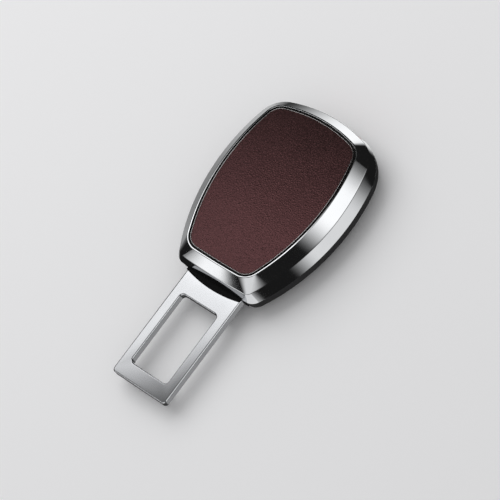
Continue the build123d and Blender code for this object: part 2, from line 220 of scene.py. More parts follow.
def corner_between(first, first_reach, second, second_reach):
    """Centre of a corner arc: at its distance from each of two centres, right of the way between them."""
    gap = hypot(second[0] - first[0], second[1] - first[1])
    ahead = ((second[0] - first[0]) / gap, (second[1] - first[1]) / gap)
    along = (first_reach**2 - second_reach**2 + gap**2) / (2 * gap)
    aside = sqrt(first_reach**2 - along**2)
    return (first[0] + ahead[0] * along + ahead[1] * aside, first[1] + ahead[1] * along - ahead[0] * aside)


def direction_of(centre, point):
    """Angle of point seen from centre."""
    return atan2(point[1] - centre[1], point[0] - centre[0])


# Outward directions at which every outline has a point: spans in degrees, with their steps.
TURNS = ((-87, -36, 17), (-36, -24, 16), (-24, 10, 40), (10, 20, 10), (20, 72, 22), (72, 90, 22))
DIRECTIONS = [radians(low + (high - low) * i / steps) for low, high, steps in TURNS for i in range(steps)]


def head_outline(rim, shrink=0.0):
    """Outline of the head: slightly bowed front, bowed sides and far end, rounded corners.

    Points of different outlines with the same number face the same way.
    """
    (front_inset, side_inset, far_inset), (front_corner, far_corner) = rim
    front_corner = max(front_corner - shrink, SMALLEST_CORNER)
    far_corner = max(far_corner - shrink, SMALLEST_CORNER)
    front_r, side_r, far_r = (radius - shrink for radius in (FRONT_RADIUS, SIDE_RADIUS, FAR_RADIUS))
    front = (0.0, FRONT + front_inset + FRONT_RADIUS)
    side = (HEAD_WIDTH / 2 - side_inset - SIDE_RADIUS, WIDEST)
    far = (0.0, FAR - far_inset - FAR_RADIUS)
    near = corner_between(side, side_r - front_corner, front, front_r - front_corner)
    corner = corner_between(far, far_r - far_corner, side, side_r - far_corner)
    leave_front = direction_of(front, near)
    arcs = (
        (direction_of(side, near), near, front_corner),
        (direction_of(side, corner), side, side_r),
        (direction_of(far, corner), corner, far_corner),
        (pi, far, far_r),
    )
    half = []
    for i in range(FRONT_STEPS):
        angle = -pi / 2 + (leave_front + pi / 2) * i / FRONT_STEPS
        half.append((front[0] + front_r * cos(angle), front[1] + front_r * sin(angle)))
    for angle in DIRECTIONS:
        centre, radius = next((centre, radius) for end, centre, radius in arcs if angle < end)
        half.append((centre[0] + radius * cos(angle), centre[1] + radius * sin(angle)))
    half.append((0.0, far[1] + far_r))
    mirrored = [(-x, y) for x, y in reversed(half[1:-1])]
    return half + mirrored


def ring(rim, z, shrink=0.0):
    """Outline at a height."""
    return [Vector((x, y, z)) for x, y in head_outline(rim, shrink)]


def foot_rim(depth):
    """Rim of the tapered foot of the back cover, at a depth below its upright band."""
    share = depth / COVER_BAND
    return ((COVER_TAPER * share, COVER_TAPER * share, COVER_FAR_TAPER * share), BASE[1])


def step_to(start, end, distance):
    """Ring that lies at a distance from start on the way to end."""
    return [a + (b - a).normalized() * distance for a, b in zip(start, end)]


def rounded(rings, radii, steps=5, hold=1.35):
    """Rings with their edges rounded: each ring with a radius becomes a small run of rings.

    A ring on either side, at hold times the radius, keeps the flat faces flat.
    """
    result = []
    for i, (here, radius) in enumerate(zip(rings, radii)):
        if not radius:
            result.append(here)
            continue
        before = rings[i - 1]
        after = rings[(i + 1) % len(rings)]
        start = step_to(here, before, radius)
        end = step_to(here, after, radius)
        result.append(step_to(here, before, radius * hold))
        for k in range(steps + 1):
            t = k / steps
            result.append(
                [a * (1 - t) ** 2 + p * 2 * t * (1 - t) + b * t**2 for a, p, b in zip(start, here, end)]
            )
        result.append(step_to(here, after, radius * hold))
    return result


def new_object(name, mesh):
    """Object in the scene for a mesh in millimetres."""
    mesh.transform(Matrix.Scale(MM, 4))
    piece = bpy.data.objects.new(name, mesh)
    bpy.context.scene.collection.objects.link(piece)
    return piece


def smooth(piece, angle=32):
    """Smooth shading with sharp edges above an angle in degrees."""
    piece.data.shade_smooth()
    piece.data.set_sharp_from_angle(angle=radians(angle))


def even_shading(piece, angle=32):
    """Smooth shading in which large faces stay flat."""
    smooth(piece, angle)
    modifier = piece.modifiers.new("even_shading", "WEIGHTED_NORMAL")
    modifier.keep_sharp = True
    modifier.weight = 60


def shell(name, rings, closed=False, cap_first=False, cap_last=False):
    """Mesh that runs through rings of equal length."""
    count = len(rings[0])
    verts = [p for r in rings for p in r]
    faces = []
    last = len(rings) if closed else len(rings) - 1
    for i in range(last):
        low = i * count
        high = (i + 1) % len(rings) * count
        for j in range(count):
            k = (j + 1) % count
            faces.append((low + j, low + k, high + k, high + j))
    if cap_first:
        faces.append(tuple(reversed(range(count))))
    if cap_last:
        faces.append(tuple(range((len(rings) - 1) * count, len(rings) * count)))
    mesh = bpy.data.meshes.new(name)
    mesh.from_pydata(verts, [], faces)
    work = bmesh.new()
    work.from_mesh(mesh)
    bmesh.ops.recalc_face_normals(work, faces=work.faces)
    work.to_mesh(mesh)
    work.free()
    return new_object(name, mesh)


def lathe(name, centre, profile, sides=40):
    """Turned shape about an upright line; profile holds radii and heights from its bottom."""
    rings = []
    for radius, z in profile:
        rings.append([Vector((x, y, z)) for x, y in arc(centre, radius, 0, 2 * pi, sides)])
    return shell(name, rings, cap_first=True, cap_last=True)


def cylinder(name, centre, radius, z_span, sides=64):
    """Upright cylinder."""
    return lathe(name, centre, [(radius, z) for z in z_span], sides)


def across(name, profile, x_span):
    """Solid whose side profile, in y and z, runs between two places on X."""
    rings = [[Vector((x, y, z)) for y, z in profile] for x in x_span]
    return shell(name, rings, cap_first=True, cap_last=True)


def soft_box(name, x_span, y_span, z_span, edge=0.0):
    """Box between two corners, with rounded edges if edge is given."""
    work = bmesh.new()
    bmesh.ops.create_cube(work, size=1.0)
    for v in work.verts:
        for axis, (low, high) in enumerate((x_span, y_span, z_span)):
            v.co[axis] = low if v.co[axis] < 0 else high
    if edge:
        bmesh.ops.bevel(work, geom=work.edges[:], offset=edge, segments=4, profile=0.5, affect="EDGES")
    mesh = bpy.data.meshes.new(name)
    work.to_mesh(mesh)
    work.free()
    return new_object(name, mesh)


def plate(name, loops, z_span, edge):
    """Flat plate with holes and rounded edges; the first loop is the outside."""
    low, high = z_span
    curve = bpy.data.curves.new(name, "CURVE")
    curve.dimensions = "2D"
    curve.fill_mode = "BOTH"
    curve.extrude = (high - low) / 2 - edge
    curve.bevel_depth = edge
    curve.bevel_resolution = 4
    curve.offset = -edge
    for loop in loops:
        spline = curve.splines.new("POLY")
        spline.points.add(len(loop) - 1)
        for point, (x, y) in zip(spline.points, loop):
            point.co = (x, y, 0, 1)
        spline.use_cyclic_u = True
    holder = bpy.data.objects.new(name + ".curve", curve)
    bpy.context.scene.collection.objects.link(holder)
    bpy.context.view_layer.update()
    mesh = bpy.data.meshes.new_from_object(holder)
    bpy.data.objects.remove(holder)
    bpy.data.curves.remove(curve)
    mesh.name = name
    mesh.transform(Matrix.Translation((0, 0, (low + high) / 2)))
    return new_object(name, mesh)


def round_rectangle(x_span, y_span, radii, steps=8):
    """Loop of a rectangle whose corners have radii, from the low-low corner anticlockwise."""
    x0, x1 = x_span
    y0, y1 = y_span
    signs = ((x0, y0, 1, 1, pi), (x1, y0, -1, 1, 1.5 * pi), (x1, y1, -1, -1, 0), (x0, y1, 1, -1, 0.5 * pi))
    points = []
    for (x, y, sx, sy, start), radius in zip(signs, radii):
        centre = (x + sx * radius, y + sy * radius)
        end = start + pi / 2
        points += arc(centre, radius, start, end, steps)
        points.append((centre[0] + radius * cos(end), centre[1] + radius * sin(end)))
    return points


def join(name, pieces):
    """One mesh object from several."""
    work = bmesh.new()
    for piece in pieces:
        work.from_mesh(piece.data)
        bpy.data.objects.remove(piece)
    mesh = bpy.data.meshes.new(name)
    work.to_mesh(mesh)
    work.free()
    piece = bpy.data.objects.new(name, mesh)
    bpy.context.scene.collection.objects.link(piece)
    return piece


def cut(piece, tools):
    """Takes the tools' shapes out of a piece."""
    for tool in tools:
        modifier = piece.modifiers.new("cut", "BOOLEAN")
        modifier.operation = "DIFFERENCE"
        modifier.solver = "EXACT"
        modifier.object = tool
    bpy.context.view_layer.update()
    mesh = bpy.data.meshes.new_from_object(piece.evaluated_get(bpy.context.evaluated_depsgraph_get()))
    piece.modifiers.clear()
    old = piece.data
    piece.data = mesh
    mesh.name = piece.name
    bpy.data.meshes.remove(old)
    for tool in tools:
        bpy.data.objects.remove(tool)


def soften(piece, width, segments=4, angle=25):
    """Rounds a piece's edges that turn by more than an angle in degrees; width in millimetres."""
    work = bmesh.new()
    work.from_mesh(piece.data)
    bmesh.ops.remove_doubles(work, verts=work.verts, dist=WELD * MM)
    sharp = [
        edge for edge in work.edges
        if len(edge.link_faces) == 2 and edge.calc_face_angle() > radians(angle)
    ]
    bmesh.ops.bevel(
        work, geom=sharp, offset=width * MM, segments=segments, profile=0.5, affect="EDGES",
        clamp_overlap=True,
    )
    work.to_mesh(piece.data)
    work.free()


# ---------------------------------------------------------------- node materials
def material(name):
    """New node material and its tools."""
    made = bpy.data.materials.new(name)
    made.use_nodes = True
    return made, made.node_tree.nodes, made.node_tree.links, made.node_tree.nodes["Principled BSDF"]


def place_nodes(nodes, links, stretch=(1, 1, 1)):
    """Object coordinates, stretched, as a vector output."""
    coordinates = nodes.new("ShaderNodeTexCoord")
    mapping = nodes.new("ShaderNodeMapping")
    mapping.inputs["Scale"].default_value = stretch
    links.new(coordinates.outputs["Object"], mapping.inputs["Vector"])
    return mapping.outputs["Vector"]


def noise(nodes, links, vector, grain, detail=3.0, rough=0.5):
    """Noise with grains of a size in millimetres."""
    node = nodes.new("ShaderNodeTexNoise")
    node.inputs["Scale"].default_value = 1000 / grain
    node.inputs["Detail"].default_value = detail
    node.inputs["Roughness"].default_value = rough
    links.new(vector, node.inputs["Vector"])
    return node.outputs["Fac"]


def spread(nodes, links, value, low, high, start=0.3, end=0.7, kind="LINEAR"):
    """Value mapped from start and end to low and high."""
    node = nodes.new("ShaderNodeMapRange")
    node.interpolation_type = kind
    for key, number in (("From Min", start), ("From Max", end), ("To Min", low), ("To Max", high)):
        node.inputs[key].default_value = number
    links.new(value, node.inputs["Value"])
    return node.outputs["Result"]


def feed(links, socket, value):
    """Gives a socket a value, or links it to an output."""
    if isinstance(value, bpy.types.NodeSocket):
        links.new(value, socket)
    else:
        socket.default_value = value


def compute(nodes, links, operation, *values):
    """Result of a math node."""
    node = nodes.new("ShaderNodeMath")
    node.operation = operation
    for socket, value in zip(node.inputs, values):
        feed(links, socket, value)
    return node.outputs[0]


def mix(nodes, links, factor, first, second, mode="MIX"):
    """Colour mixed by a factor."""
    node = nodes.new("ShaderNodeMix")
    node.data_type = "RGBA"
    node.blend_type = mode
    for key, value in (("Factor", factor), ("A", first), ("B", second)):
        feed(links, node.inputs[key], (*value, 1) if isinstance(value, tuple) else value)
    return node.outputs["Result"]


def bump(nodes, links, height, strength, distance, normal=None):
    """Bump from a height; distance in millimetres."""
    node = nodes.new("ShaderNodeBump")
    node.inputs["Strength"].default_value = strength
    node.inputs["Distance"].default_value = distance * MM
    links.new(height, node.inputs["Height"])
    if normal:
        links.new(normal, node.inputs["Normal"])
    return node.outputs["Normal"]


def metal(name, light, dark, rough, grain=(1, 1, 1), grain_size=0.25, depth=0.004, blotch=9.0, sway=0.02):
    """Metal with grain, faint blotches and a varied polish.

    Its colour lies between light and dark and its roughness in rough, give or take sway in the blotches.
    grain stretches the pattern; grain_size, depth and blotch are in millimetres.
    """
    made, nodes, links, shader = material(name)
    shader.inputs["Metallic"].default_value = 1.0
    fine = noise(nodes, links, place_nodes(nodes, links, grain), grain_size, detail=4.0, rough=0.6)
    broad = noise(nodes, links, place_nodes(nodes, links), blotch)
    links.new(mix(nodes, links, spread(nodes, links, broad, 0, 1), light, dark), shader.inputs["Base Color"])
    polish = compute(
        nodes, links, "ADD", spread(nodes, links, fine, *rough), spread(nodes, links, broad, -sway, sway)
    )
    links.new(polish, shader.inputs["Roughness"])
    links.new(bump(nodes, links, fine, strength=0.35, distance=depth), shader.inputs["Normal"])
    return made


def plastic(name, light, dark, rough, grain_size=0.35, depth=0.02, blotch=7.0, specular=0.5):
    """Moulded plastic with an eroded texture and slight unevenness."""
    made, nodes, links, shader = material(name)
    shader.inputs["Specular IOR Level"].default_value = specular
    vector = place_nodes(nodes, links)
    fine = noise(nodes, links, vector, grain_size, detail=5.0, rough=0.62)
    broad = noise(nodes, links, vector, blotch, detail=2.0)
    links.new(mix(nodes, links, spread(nodes, links, broad, 0, 1), light, dark), shader.inputs["Base Color"])
    links.new(spread(nodes, links, fine, *rough), shader.inputs["Roughness"])
    links.new(bump(nodes, links, fine, strength=0.5, distance=depth), shader.inputs["Normal"])
    return made


# leather: grain sizes in millimetres, dye colours, the warp that keeps the pebbles uneven, and the creases,
# whose darkening of the colour is painted shade
PEBBLE = 0.8
PORE = 0.22
DYE_PATCH = 14
DYES = ((0.026, 0.0150, 0.0142), (0.019, 0.0120, 0.0112))
WARP_PER_METRE = 900
WARP_SHIFT = 0.0009
CREASE_WIDTH = 0.16
CREASE_PAINTED_SHADE = 0.35


def leather_material():
    """Grained brown leather: pebbles between fine creases, with uneven dye; the creases are darkened in the
    colour as painted shade.
    """
    made, nodes, links, shader = material("brown_leather")
    vector = place_nodes(nodes, links)
    warp = nodes.new("ShaderNodeTexNoise")
    warp.inputs["Scale"].default_value = WARP_PER_METRE
    links.new(vector, warp.inputs["Vector"])
    shifted = nodes.new("ShaderNodeMix")
    shifted.data_type = "VECTOR"
    shifted.inputs["Factor"].default_value = WARP_SHIFT
    links.new(vector, shifted.inputs["A"])
    links.new(warp.outputs["Color"], shifted.inputs["B"])
    crease = nodes.new("ShaderNodeTexVoronoi")
    crease.feature = "DISTANCE_TO_EDGE"
    crease.inputs["Scale"].default_value = 1000 / PEBBLE
    links.new(shifted.outputs["Result"], crease.inputs["Vector"])
    fine = noise(nodes, links, vector, PORE, detail=4.0, rough=0.6)
    broad = noise(nodes, links, vector, DYE_PATCH)
    dyed = mix(nodes, links, spread(nodes, links, broad, 0, 1), *DYES)
    # the creases darken the dyed colour: painted shade
    crease_painted_shade = spread(nodes, links, crease.outputs["Distance"], CREASE_PAINTED_SHADE, 1.0, 0.0, CREASE_WIDTH)
    links.new(mix(nodes, links, 1.0, dyed, crease_painted_shade, "MULTIPLY"), shader.inputs["Base Color"])
    links.new(spread(nodes, links, fine, 0.3, 0.42), shader.inputs["Roughness"])
    shader.inputs["Specular IOR Level"].default_value = 1.0
    shader.inputs["Specular Tint"].default_value = (1.0, 0.4, 0.43, 1)
    shader.inputs["Sheen Weight"].default_value = 0.05
    shader.inputs["Sheen Roughness"].default_value = 0.5
    shader.inputs["Sheen Tint"].default_value = (0.9, 0.7, 0.66, 1)
    pebbles = bump(nodes, links, crease.outputs["Distance"], strength=0.7, distance=0.16)
    pores = bump(nodes, links, fine, strength=0.35, distance=0.03, normal=pebbles)
    links.new(pores, shader.inputs["Normal"])
    return made


chrome = metal(
    "chrome_plate", (0.70, 0.71, 0.72), (0.66, 0.67, 0.685), (0.045, 0.075), grain_size=0.6, depth=0.0005,
    sway=0.006,
)
tongue_steel = metal(
    "plated_tongue_steel", (0.655, 0.665, 0.685), (0.63, 0.64, 0.66), (0.13, 0.145), grain_size=0.35,
    depth=0.0002, sway=0.004,
)
frame_steel = metal(
    "zinc_frame_steel", (0.55, 0.55, 0.54), (0.46, 0.47, 0.48), (0.3, 0.42), grain=(1, 0.15, 1),
    grain_size=0.2,
)
latch_steel = metal(
    "hardened_latch_steel", (0.40, 0.40, 0.41), (0.32, 0.33, 0.35), (0.28, 0.4), grain_size=0.2
)
spring_steel = metal("spring_wire", (0.58, 0.58, 0.58), (0.48, 0.48, 0.5), (0.2, 0.3), grain_size=0.1)
screw_steel = metal(
    "black_screw_steel", (0.16, 0.16, 0.165), (0.11, 0.11, 0.115), (0.3, 0.42), grain_size=0.15
)
rivet_steel = metal("rivet_steel", (0.56, 0.56, 0.57), (0.48, 0.48, 0.5), (0.28, 0.38), grain_size=0.15)
# bright metal on the leather's edge: painted highlight of the leather's rolled edge
bead_metal_painted_highlight = metal(
    "bead_metal_painted_highlight", (0.62, 0.60, 0.60), (0.55, 0.53, 0.53), (0.2, 0.28), grain_size=0.4, depth=0.002
)
leather = leather_material()
cover_black = plastic("textured_black_cover", (0.016, 0.016, 0.017), (0.011, 0.011, 0.012), (0.46, 0.62))
# darker and duller than the cover's black: the collar's own black plus painted shade where the tongue enters
# the head
collar_black_and_painted_shade = plastic(
    "black_collar_and_painted_shade", (0.0022, 0.0022, 0.0024), (0.0014, 0.0014, 0.0016), (0.5, 0.66), specular=0.12
)
tray_black = plastic("black_tray", (0.006, 0.006, 0.006), (0.004, 0.004, 0.004), (0.55, 0.7), specular=0.25)
guide_grey = plastic("dark_grey_guide", (0.035, 0.035, 0.037), (0.027, 0.027, 0.029), (0.4, 0.55))
ejector_white = plastic("natural_ejector", (0.62, 0.60, 0.55), (0.56, 0.54, 0.49), (0.35, 0.5))
button_red = plastic(
    "red_button", (0.52, 0.012, 0.012), (0.45, 0.010, 0.010), (0.24, 0.28), grain_size=0.8, depth=0.0006
)
foam_grey = plastic(
    "grey_foam", (0.09, 0.09, 0.09), (0.06, 0.06, 0.06), (0.85, 0.95), grain_size=0.5, depth=0.15
)


def finish_piece(piece, body, look, slot, *nodes):
    """Gives a piece its material, its body and the CAD nodes that it stands for; slot is not used."""
    piece.data.materials.clear()
    piece.data.materials.append(look)
    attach(piece, body)
    if nodes:
        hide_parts(*nodes)


def dress(node, look):
    """Puts a material on a CAD node that stays."""
    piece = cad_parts[node]
    piece.data.materials.clear()
    piece.data.materials.append(look)


# ---------------------------------------------------------------- chrome bezel
def chrome_bezel():
    """Ring with a flared side band, a sloping facet, a bright lip and the ledge that carries the inlay."""
    rings, edges = zip(
        (ring(GAP_RIM, LEDGE, LEDGE_WIDTH - GAP / 2), 0),
        (ring(GAP_RIM, LEDGE, -GAP / 2), 0),
        (ring(GAP_RIM, TOP, -GAP / 2), LIP_INNER_EDGE),
        (ring(GAP_RIM, TOP, -GAP / 2 - LIP), LIP_OUTER_EDGE),
        (ring(RIDGE_RIM, RIDGE), RIDGE_EDGE),
        (ring(BASE, PARTING), BASE_EDGE),
        (ring(RIDGE_RIM, PARTING, BEZEL_WALL), 0),
        (ring(RIDGE_RIM, CAVITY, BEZEL_WALL), 0),
        (ring(GAP_RIM, CAVITY, LEDGE_WIDTH - GAP / 2), 0),
    )
    piece = shell("bezel", rounded(rings, edges), closed=True)
    y_span = (FAR - BUTTON_DEPTH, FAR + 2 * OVERSHOOT)
    z_span = (PARTING - OVERSHOOT, button_high.z + PLAIN_GAP)
    cut(piece, [soft_box("notch", (-NOTCH, NOTCH), y_span, z_span)])
    return piece


bezel = chrome_bezel()
even_shading(bezel)
finish_piece(bezel, "housing", chrome, "chrome", "chrome_bezel")


# ---------------------------------------------------------------- leather inlay
def leather_inlay():
    """Crowned leather with a tightly rolled edge."""
    low = LEDGE + CARRIER_THICKNESS + FOAM_THICKNESS
    edge = low + LEATHER_THICKNESS
    inset = GAP / 2 + LEATHER_FIT
    rings = [ring(GAP_RIM, low, inset)]
    for inward, drop in LEATHER_ROLL:
        rings.append(ring(GAP_RIM, edge - drop, inset + inward))
    flat = rings[-1]
    spine = [Vector((0, SPINE_MIDDLE + (p.y - SPINE_MIDDLE) * SPINE_SHARE, 0)) for p in flat]
    for share in CROWN_SHARES:
        height = edge + LEATHER_CROWN * (1 - (1 - share) ** CROWN_POWER)
        rings.append([Vector((p.x + (s.x - p.x) * share, p.y + (s.y - p.y) * share, height))
                      for p, s in zip(flat, spine)])
    return shell("leather", rings, cap_first=True, cap_last=True)


def inlay_bead():
    """Thin bright bead along the leather's edge; its bright metal stands in for the highlight on the
    leather's rolled edge: a painted highlight.
    """
    inset = GAP / 2 + BEAD_INSET
    height = leather_high.z - LEATHER_CROWN - BEAD_SINK
    rings = []
    for i in range(BEAD_SIDES):
        turn = 2 * pi * i / BEAD_SIDES
        rings.append(ring(GAP_RIM, height + BEAD * sin(turn), inset + BEAD * cos(turn)))
    return shell("inlay_bead", rings, closed=True)


inlay = leather_inlay()
smooth(inlay, angle=60)
finish_piece(inlay, "housing", leather, "leather", "leather_panel")

bead = inlay_bead()
smooth(bead, angle=60)
finish_piece(bead, "housing", bead_metal_painted_highlight, "chrome")


# ---------------------------------------------------------------- tongue plate
def tongue():
    """Steel plate with its latch window, joggled down inside the head."""
    half = TONGUE_WIDTH / 2
    tip = tongue_low.y
    corners = (TONGUE_CORNER, TONGUE_CORNER, TAIL_CORNER, TAIL_CORNER)
    outside = round_rectangle((-half, half), (tip, tongue_high.y), corners)
    window = round_rectangle(
        (-WINDOW_WIDTH / 2, WINDOW_WIDTH / 2),
        (tip + TIP_BAND, tip + TIP_BAND + WINDOW_LENGTH),
        (WINDOW_CORNER,) * 4,
    )
    piece = plate("tongue", [outside, window], (TONGUE_TOP - TONGUE_THICKNESS, TONGUE_TOP), TONGUE_EDGE)
    work = bmesh.new()
    work.from_mesh(piece.data)
    bmesh.ops.remove_doubles(work, verts=work.verts, dist=WELD * MM)
    start = FRONT + JOGGLE_START
    down = (TONGUE_TOP - tongue_low.z - TONGUE_THICKNESS) * MM
    for i in range(JOGGLE_STEPS + 1):
        place = (0, (start + JOGGLE_LENGTH * i / JOGGLE_STEPS) * MM, 0)
        geometry = work.verts[:] + work.edges[:] + work.faces[:]
        bmesh.ops.bisect_plane(work, geom=geometry, plane_co=place, plane_no=(0, 1, 0))
    for v in work.verts:
        t = min(max((v.co.y / MM - start) / JOGGLE_LENGTH, 0), 1)
        v.co.z -= down * t * t * (3 - 2 * t)
    work.to_mesh(piece.data)
    work.free()
    return piece


blade = tongue()
even_shading(blade)
finish_piece(blade, "housing", tongue_steel, "tongue_steel", "tongue_plate")


# ---------------------------------------------------------------- back cover
SCREWS = [f"cover_screw_{i}" for i in (1, 2, 3, 4)]


def back_cover():
    """Black tray under the bezel, with openings for the tongue and the mouth and recesses for the screws."""
    outside = [
        ring(foot_rim(COVER_BAND), 0, COVER_REVEAL),
        ring(foot_rim(0), COVER_BAND, COVER_REVEAL),
        ring(BASE, PARTING, COVER_REVEAL),
        ring(BASE, PARTING, COVER_RIM),
    ]
    # the last ring only guides the rounding of the one before it
    body = rounded(outside, (FOOT_EDGE, BAND_EDGE, COVER_TOP_EDGE, 0))[:-1]
    piece = shell("cover", body, cap_first=True, cap_last=True)
    inner = COVER_REVEAL + COVER_WALL
    inside = [
        ring(foot_rim(COVER_BAND - COVER_FLOOR), COVER_FLOOR, inner),
        ring(foot_rim(0), COVER_BAND, inner),
        ring(BASE, PARTING + OVERSHOOT, inner),
    ]
    tools = [shell("hollow", inside, cap_first=True, cap_last=True)]
    for name, width, y_span, bottom in (
        ("mouth", MOUTH_OPENING, (FAR - MOUTH_DEPTH, FAR + 2 * OVERSHOOT), COVER_FLOOR),
        ("throat", THROAT_OPENING, (FRONT - 2 * OVERSHOOT, FRONT + THROAT_DEPTH), collar_low.z - PLAIN_GAP),
    ):
        tools.append(soft_box(name, (-width / 2, width / 2), y_span, (bottom, PARTING + OVERSHOOT)))
    for node in SCREWS:
        low, high = span(node)
        centre = ((low.x + high.x) / 2, (low.y + high.y) / 2)
        tools.append(cylinder("seat", centre, SCREW_SEAT_RADIUS, (-OVERSHOOT, SCREW_SEAT_DEPTH)))
    cut(piece, tools)
    return piece


cover = back_cover()
even_shading(cover)
finish_piece(cover, "housing", cover_black, "cover_plastic", "back_cover")


# ---------------------------------------------------------------- front collar
def front_collar():
    """Collar round the tongue with a bowed lip over it; the lip's black, blunt at its ends, is partly the
    collar and partly painted shade where the tongue enters the head.
    """
    half = TONGUE_WIDTH / 2
    bulge = FRONT - collar_low.y
    bow = []
    for i in range(-BOW_STEPS, BOW_STEPS + 1):
        share = sin(i * pi / (2 * BOW_STEPS))
        bow.append((half * share, FRONT - COLLAR_STEP - (bulge - COLLAR_STEP) * (1 - share**2)))
    lip = [*bow, (half, FRONT + COLLAR_LIP_BACK), (-half, FRONT + COLLAR_LIP_BACK)]
    top = plate("lip", [lip], (TONGUE_TOP, PARTING), COLLAR_LIP_EDGE)
    slot_half = half + SEATED_GAP
    slot_z = (TONGUE_TOP - TONGUE_THICKNESS - SEATED_GAP, TONGUE_TOP + SEATED_GAP)
    # drawn flat, then turned up to stand across the tongue
    sleeve = plate(
        "sleeve",
        [
            round_rectangle(
                (-COLLAR_HALF_WIDTH, COLLAR_HALF_WIDTH), (collar_low.z, PARTING), (SLEEVE_CORNER,) * 4
            ),
            round_rectangle((-slot_half, slot_half), slot_z, (SLOT_CORNER,) * 4),
        ],
        (-(FRONT + COLLAR_DEPTH), -(FRONT + SLEEVE_START)),
        SLEEVE_EDGE,
    )
    sleeve.data.transform(Matrix.Rotation(pi / 2, 4, "X"))
    return join("collar", [top, sleeve])


collar = front_collar()
even_shading(collar)
finish_piece(collar, "housing", collar_black_and_painted_shade, "collar_plastic", "front_collar")


# ---------------------------------------------------------------- press button
def button_face(low, high, back):
    """Block whose far side follows the bezel's far side between two heights."""
    half = BUTTON_WIDTH / 2
    base, ridge = ring(BASE, PARTING, BUTTON_SET), ring(RIDGE_RIM, RIDGE, BUTTON_SET)
    levels = []
    for height in (low, high):
        share = (height - PARTING) / (RIDGE - PARTING)
        line = [start + (end - start) * share for start, end in zip(base, ridge)]
        face = sorted(
            (p for p in line if p.y > WIDEST and abs(p.x) < half - FACE_MARGIN), key=lambda p: -p.x
        )
        edge = face[0].y
        right = [Vector((half, back, height)), Vector((half, edge, height))]
        left = [Vector((-half, edge, height)), Vector((-half, back, height))]
        levels.append([*right, *face, *left])
    piece = shell("face", levels, cap_first=True, cap_last=True)
    soften(piece, BUTTON_EDGE)
    return piece


def press_button():
    """Red button with a soft-edged face, shoulders, two latch arms and pockets for its springs."""
    low, high = PARTING + BUTTON_LIFT, button_high.z
    half = BUTTON_WIDTH / 2
    back = FAR - BUTTON_DEPTH
    parts = [button_face(low, high, back)]
    toe, arm_top, foot, root = button_low.z, low + ARM_HEIGHT, EAR + ARM_FOOT, back + ARM_ROOT
    ramp = EAR + arm_top - toe
    profile = [(root, low), (root, arm_top), (ramp, arm_top), (EAR, toe), (foot, toe), (foot, low)]
    for side in (-1, 1):
        middle = side * ARM_FROM_CENTRE
        arm = across("arm", profile, (middle - ARM_WIDTH / 2, middle + ARM_WIDTH / 2))
        soften(arm, ARM_EDGE, segments=2)
        parts.append(arm)
        x_span = sorted((side * (half - SHOULDER_LAP), side * (button_high.x - SEATED_GAP)))
        y_span = (back + SEATED_GAP, back + SHOULDER_DEPTH)
        parts.append(soft_box("shoulder", x_span, y_span, (low, high), SHOULDER_EDGE))
    piece = join("button", parts)
    pockets = []
    for node in ("button_spring_left", "button_spring_right"):
        near, away = span(node)
        middle = (near + away) / 2
        radius = (away.x - near.x) / 2 + PLAIN_GAP
        pocket = cylinder("pocket", (0, 0), radius, (back - OVERSHOOT / 2, away.y), sides=32)
        pocket.data.transform(Matrix.Rotation(-pi / 2, 4, "X"))
        pocket.data.transform(Matrix.Translation((middle.x * MM, 0, middle.z * MM)))
        pockets.append(pocket)
    cut(piece, pockets)
    return piece


button = press_button()
even_shading(button, angle=40)
finish_piece(button, "button", button_red, "button_plastic", "press_button")


# ---------------------------------------------------------------- springs
def coil_spring(node, wire, turns, lengthwise, steps=20, sides=10):
    """Round-wire compression spring with closed end turns, in the place of a CAD spring.

    wire is its thickness; a lengthwise spring lies along Y, another one stands upright.
    """
    low, high = span(node)
    middle = (low + high) / 2
    axis = 1 if lengthwise else 2
    start, length = low[axis], high[axis] - low[axis]
    reach = (high.x - low.x - wire) / 2
    pitch = (length - 3 * wire) / (turns - 2)
    rings = []
    for i in range(int(turns * steps) + 1):
        turn = i / steps
        closed = min(turn, 1) + max(turn - turns + 1, 0)
        climb = closed * wire + min(max(turn - 1, 0), turns - 2) * pitch
        angle = 2 * pi * turn
        loop = []
        for k in range(sides):
            round_wire = 2 * pi * k / sides
            out = reach + wire / 2 * cos(round_wire)
            along = start + wire / 2 + climb + wire / 2 * sin(round_wire)
            x, side = out * cos(angle), out * sin(angle)
            if lengthwise:
                loop.append(Vector((middle.x + x, along, middle.z - side)))
            else:
                loop.append(Vector((middle.x + x, middle.y + side, along)))
        rings.append(loop)
    piece = shell(node + "_coil", rings, cap_first=True, cap_last=True)
    smooth(piece, angle=50)
    finish_piece(piece, "housing", spring_steel, "spring_steel", node)
    return piece


latch_coil = coil_spring("latch_spring", wire=0.5, turns=5, lengthwise=False)
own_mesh(latch_coil)
ejector_coil = coil_spring("ejector_spring", wire=0.45, turns=8, lengthwise=True)
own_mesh(ejector_coil)
for node, x in (("button_spring_left", -0.006), ("button_spring_right", 0.006)):
    button_coil = coil_spring(node, wire=0.3, turns=7, lengthwise=True)
    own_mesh(button_coil)


# ---------------------------------------------------------------- CAD nodes that stay
for node, look in {
    "panel_carrier": tray_black,
    "panel_foam": foam_grey,
    "latch_frame": frame_steel,
    "frame_rivet_left": rivet_steel,
    "frame_rivet_right": rivet_steel,
    "latch_pin": rivet_steel,
    "latch_plate": latch_steel,
    "tongue_guide": guide_grey,
    "ejector": ejector_white,
}.items():
    dress(node, look)


